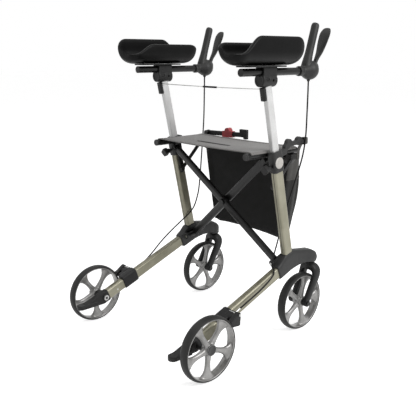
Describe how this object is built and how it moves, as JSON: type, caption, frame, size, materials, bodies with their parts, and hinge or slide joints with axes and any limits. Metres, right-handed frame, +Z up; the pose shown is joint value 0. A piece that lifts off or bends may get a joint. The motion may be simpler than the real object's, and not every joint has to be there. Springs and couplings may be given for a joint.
{
  "type": "upright walker",
  "caption": "Folding upright walker with forearm troughs on height-adjustable tubes, brake handles, cross-braced seat and a front bag, on swivel casters.",
  "frame": {"origin": "centre of the footprint box on the floor", "axes": "+X forward, +Y to the user's left, +Z up"},
  "size_m": [0.682, 0.624, 1.0232],
  "materials": {
    "champagne": "satin anodised champagne",
    "silver": "satin anodised silver",
    "black_plastic": "fine-grain black moulding",
    "black_steel": "semi-gloss black powder coat",
    "steel": "bright zinc",
    "tyre": "soft grey-black tyre",
    "rim": "satin warm grey moulding",
    "foam": "smooth black integral-skin foam",
    "cable": "black cable sheath",
    "seat_cloth": "grey woven coated cloth",
    "bag_cloth": "black woven cloth",
    "red_plastic": "red moulding"
  },
  "bodies": {
    "left_frame": {"left_casting": "black_plastic", "left_upright": "champagne", "left_lower_tube": "champagne", "left_collar": "black_plastic", "left_tip_pedal": "black_plastic", "left_brake_sleeve": "black_plastic", "left_frame_pins": "steel", "left_seat_strut": "black_plastic", "left_brake_cable": "cable", "bag": "bag_cloth"},
    "front_brace": {"front_brace": "black_steel"},
    "rear_brace": {"rear_brace": "black_steel"},
    "right_frame": {"right_casting": "black_plastic", "right_upright": "champagne", "right_lower_tube": "champagne", "right_collar": "black_plastic", "right_tip_pedal": "black_plastic", "right_brake_sleeve": "black_plastic", "right_frame_pins": "steel", "right_seat_strut": "black_plastic", "right_brake_cable": "cable", "bag_arm": "black_plastic"},
    "left_rail": {"left_seat_rail": "black_steel", "seat": "seat_cloth"},
    "right_rail": {"right_seat_rail": "black_steel"},
    "left_support": {"left_height_tube": "silver", "left_wire_clip": "black_plastic", "left_arm_head": "black_plastic", "left_arm_tube": "black_steel", "left_arm_plate": "black_plastic", "left_arm_pad": "foam", "left_handle": "black_plastic", "tie_wire": "steel"},
    "right_support": {"right_height_tube": "silver", "right_wire_clip": "black_plastic", "right_arm_head": "black_plastic", "right_arm_tube": "black_steel", "right_arm_plate": "black_plastic", "right_arm_pad": "foam", "right_handle": "black_plastic"},
    "left_lever": {"left_brake_lever": "black_plastic"},
    "left_brake": {"left_brake_arm": "black_plastic"},
    "left_knob": {"left_clamp_knob": "black_plastic"},
    "left_rear_wheel": {"left_rear_tyre": "tyre", "left_rear_rim": "rim"},
    "left_fork": {"left_caster_fork": "black_plastic", "left_caster_axle": "steel"},
    "left_caster": {"left_caster_tyre": "tyre", "left_caster_rim": "rim"},
    "right_lever": {"right_brake_lever": "black_plastic"},
    "right_brake": {"right_brake_arm": "black_plastic"},
    "right_knob": {"right_clamp_knob": "black_plastic"},
    "right_rear_wheel": {"right_rear_tyre": "tyre", "right_rear_rim": "rim"},
    "right_fork": {"right_caster_fork": "black_plastic", "right_caster_axle": "steel"},
    "right_caster": {"right_caster_tyre": "tyre", "right_caster_rim": "rim"},
    "lock_bar": {"lock_bar": "black_plastic"},
    "lock_release": {"lock_release": "red_plastic"}
  },
  "joints": [
    {"name": "fold", "type": "hinge", "parent": "left_frame", "child": "front_brace", "pos_m": [0.15594, 0.214, 0.26047], "axis": [-0.9781, 0, -0.2079], "range_deg": [0, 36], "deforming": ["seat", "bag", "tie_wire"]},
    {"name": "cross", "type": "hinge", "parent": "front_brace", "child": "rear_brace", "pos_m": [0.11915, 0, 0.43358], "axis": [-0.9781, 0, -0.2079], "range_deg": [-72, 0]},
    {"name": "right_foot", "type": "hinge", "parent": "rear_brace", "child": "right_frame", "pos_m": [0.15594, -0.214, 0.26047], "axis": [-0.9781, 0, -0.2079], "range_deg": [0, 36]},
    {"name": "left_rail_hinge", "type": "hinge", "parent": "rear_brace", "child": "left_rail", "pos_m": [0.08338, 0.208, 0.60184], "axis": [-0.9781, 0, -0.2079], "range_deg": [0, 36]},
    {"name": "right_rail_hinge", "type": "hinge", "parent": "front_brace", "child": "right_rail", "pos_m": [0.08338, -0.208, 0.60184], "axis": [-0.9781, 0, -0.2079], "range_deg": [-36, 0]},
    {"name": "left_height", "type": "slide", "parent": "left_frame", "child": "left_support", "axis": [-0.2079, 0, 0.9781], "range_m": [0, 0.13], "deforming": ["left_brake_cable"]},
    {"name": "right_height", "type": "slide", "parent": "right_frame", "child": "right_support", "axis": [-0.2079, 0, 0.9781], "range_m": [0, 0.13], "deforming": ["right_brake_cable"]},
    {"name": "left_lever_pivot", "type": "hinge", "parent": "left_support", "child": "left_lever", "pos_m": [0.269, 0.244, 0.887], "axis": [0, -1, 0], "range_deg": [0, 14], "stiffness_Nm_per_rad": 1},
    {"name": "left_brake_pivot", "type": "hinge", "parent": "left_frame", "child": "left_brake", "pos_m": [-0.113, 0.244, 0.17], "axis": [0, 1, 0], "range_deg": [0, 1.6]},
    {"name": "left_knob_turn", "type": "hinge", "parent": "left_frame", "child": "left_knob", "pos_m": [0.10096, 0.244, 0.59127], "axis": [0.9781, 0, 0.2079], "range_deg": [0, 180]},
    {"name": "left_rear_axle", "type": "hinge", "parent": "left_frame", "child": "left_rear_wheel", "pos_m": [-0.235, 0.297, 0.1], "axis": [0, 1, 0], "continuous": true},
    {"name": "left_swivel", "type": "hinge", "parent": "left_frame", "child": "left_fork", "pos_m": [0.287, 0.244, 0.1], "axis": [0, 0, 1], "continuous": true},
    {"name": "left_caster_axle_turn", "type": "hinge", "parent": "left_fork", "child": "left_caster", "pos_m": [0.241, 0.244, 0.1], "axis": [0, 1, 0], "continuous": true},
    {"name": "right_lever_pivot", "type": "hinge", "parent": "right_support", "child": "right_lever", "pos_m": [0.269, -0.244, 0.887], "axis": [0, -1, 0], "range_deg": [0, 14], "stiffness_Nm_per_rad": 1},
    {"name": "right_brake_pivot", "type": "hinge", "parent": "right_frame", "child": "right_brake", "pos_m": [-0.113, -0.244, 0.17], "axis": [0, 1, 0], "range_deg": [0, 1.6]},
    {"name": "right_knob_turn", "type": "hinge", "parent": "right_frame", "child": "right_knob", "pos_m": [0.10096, -0.244, 0.59127], "axis": [0.9781, 0, 0.2079], "range_deg": [0, 180]},
    {"name": "right_rear_axle", "type": "hinge", "parent": "right_frame", "child": "right_rear_wheel", "pos_m": [-0.235, -0.297, 0.1], "axis": [0, 1, 0], "continuous": true},
    {"name": "right_swivel", "type": "hinge", "parent": "right_frame", "child": "right_fork", "pos_m": [0.287, -0.244, 0.1], "axis": [0, 0, 1], "continuous": true},
    {"name": "right_caster_axle_turn", "type": "hinge", "parent": "right_fork", "child": "right_caster", "pos_m": [0.241, -0.244, 0.1], "axis": [0, 1, 0], "continuous": true},
    {"name": "lock_pivot", "type": "hinge", "parent": "left_rail", "child": "lock_bar", "pos_m": [0.2235, 0.206, 0.642], "axis": [-1, 0, 0], "range_deg": [0, 70]},
    {"name": "lock_slide", "type": "slide", "parent": "lock_bar", "child": "lock_release", "axis": [0, 0.9994, -0.0349], "range_m": [0, 0.008], "stiffness_N_per_m": 150}
  ],
  "couplings": [
    {"joint": "cross", "follows": "fold", "ratio": -2},
    {"joint": "right_foot", "follows": "fold", "ratio": 1},
    {"joint": "left_rail_hinge", "follows": "fold", "ratio": 1},
    {"joint": "right_rail_hinge", "follows": "fold", "ratio": -1},
    {"joint": "right_height", "follows": "left_height", "ratio": 1},
    {"joint": "left_brake_pivot", "follows": "left_lever_pivot", "ratio": 0.11429},
    {"joint": "right_brake_pivot", "follows": "right_lever_pivot", "ratio": 0.11429},
    {"joint": "lock_pivot", "follows": "fold", "ratio": 1.9444}
  ]
}
